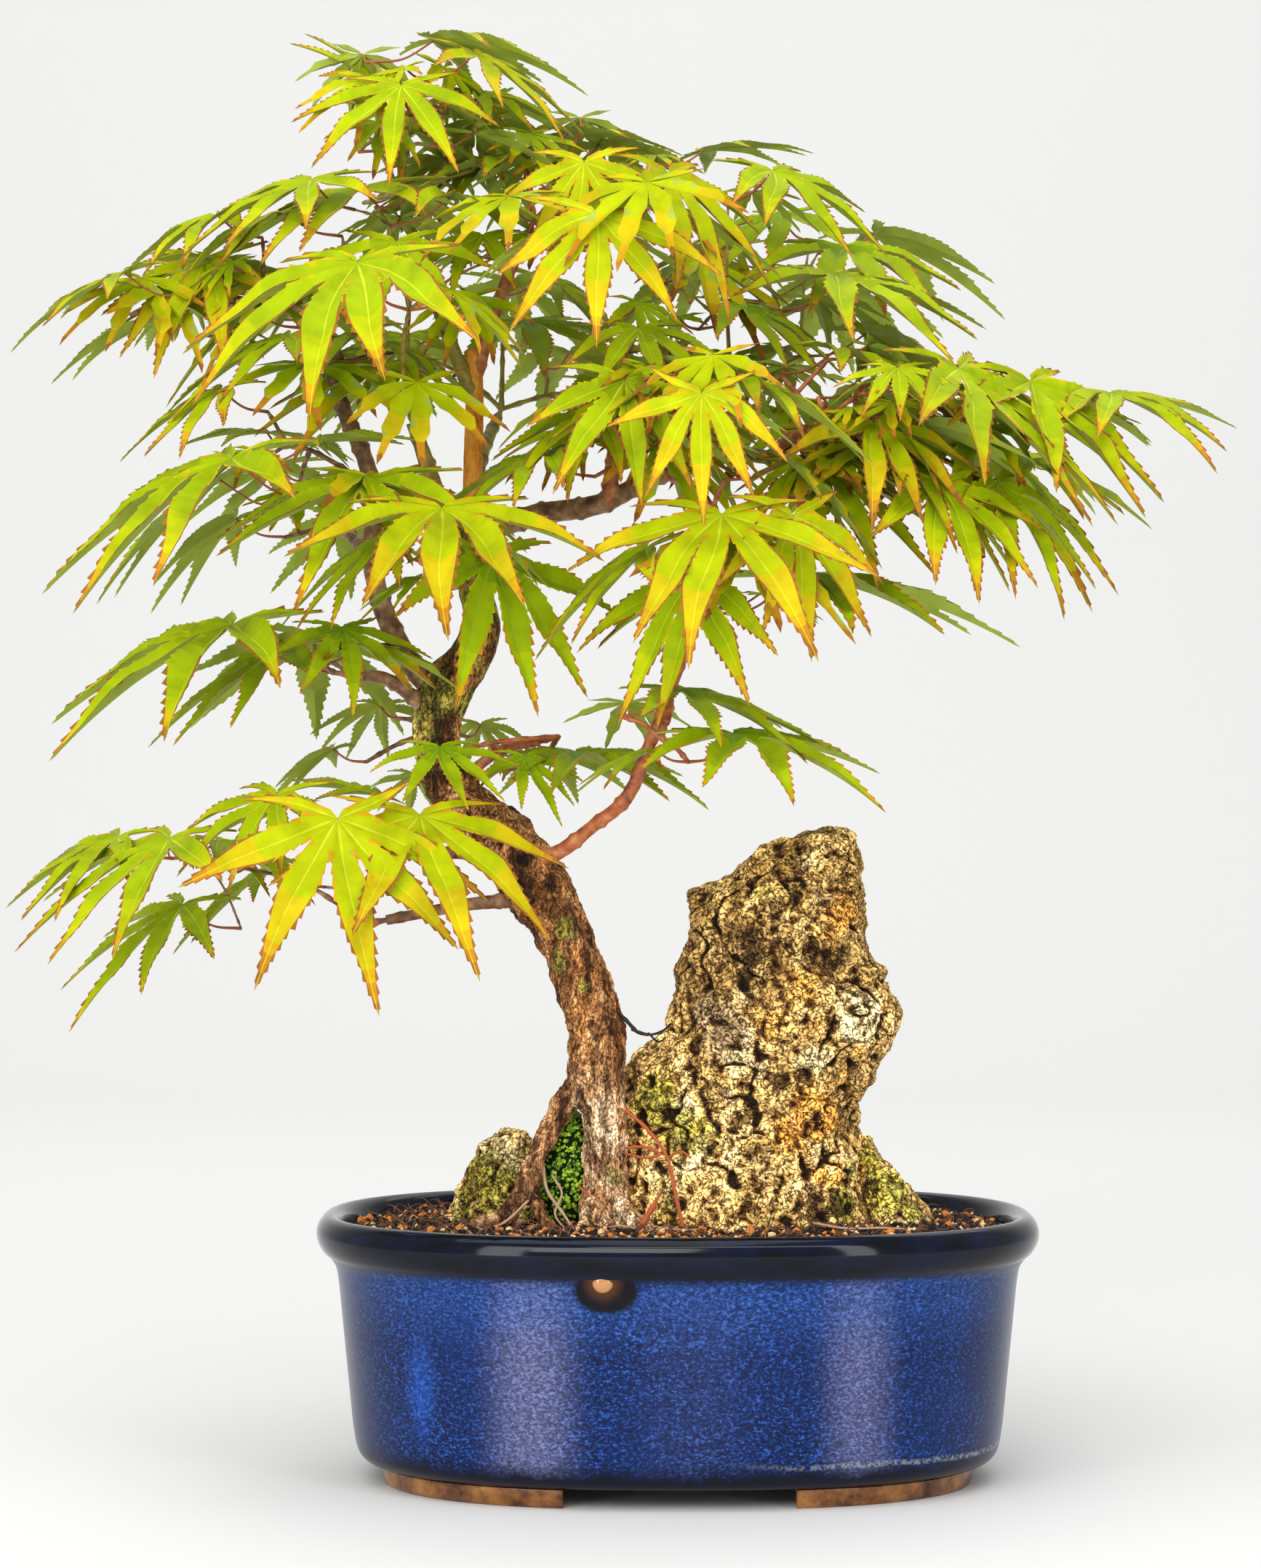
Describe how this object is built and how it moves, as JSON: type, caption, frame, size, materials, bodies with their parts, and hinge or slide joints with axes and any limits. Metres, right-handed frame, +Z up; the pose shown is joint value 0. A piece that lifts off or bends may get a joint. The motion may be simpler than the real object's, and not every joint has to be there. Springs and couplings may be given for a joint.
{
  "type": "potted maple bonsai with standing stone",
  "caption": "Small palmate-leaved maple trained as a bonsai, leaning away from a tall stone, in an oval glazed pot on clay feet.",
  "frame": {"origin": "on the surface that the pot stands on, under the middle of the box round crown and pot", "axes": "+Z up along the height, X along the pot's long side with the tall stone towards +X, and the front of the bonsai towards -Y"},
  "size_m": [0.3784, 0.2438, 0.4472],
  "materials": {
    "glaze": "gloss",
    "bare_clay": "matte",
    "soil": "matte",
    "moss": "matte",
    "stone": "matte",
    "bark": "matte",
    "foliage": "satin"
  },
  "bodies": {
    "root": {"trunk": "bark", "bough_left": "bark", "bough_left_side": "bark", "bough_left_middle": "bark", "bough_low_left": "bark", "bough_low_left_front": "bark", "bough_waist": "bark", "bough_low_right": "bark", "bough_low_right_side": "bark", "bough_front": "bark", "bough_olive": "bark", "bough_top": "bark", "bough_top_right": "bark", "bough_right": "bark", "bough_right_up": "bark", "bough_right_front": "bark", "bough_right_near": "bark", "bough_right_back": "bark", "bough_back": "bark", "bough_back_left": "bark", "bough_back_low": "bark", "pot": "glaze", "foot_front_left": "bare_clay", "foot_front_right": "bare_clay", "foot_back_left": "bare_clay", "foot_back_right": "bare_clay", "soil": "soil", "stone_tall": "stone", "stone_left": "stone", "stone_right": "stone", "moss": "moss", "leaves_crown_front": "foliage", "leaves_trunk": "foliage", "leaves_low_left_front": "foliage", "leaves_right_front": "foliage", "leaves_centre": "foliage", "leaves_right_far": "foliage", "leaves_top_right": "foliage", "leaves_top": "foliage", "leaves_upper_left": "foliage", "leaves_right": "foliage", "leaves_left": "foliage", "leaves_left_middle": "foliage", "leaves_low_left": "foliage", "leaves_low_right": "foliage", "leaves_middle_right": "foliage", "leaves_waist": "foliage", "leaves_right_back": "foliage", "leaves_back": "foliage", "leaves_back_left": "foliage", "leaves_back_low": "foliage"}
  },
  "joints": []
}
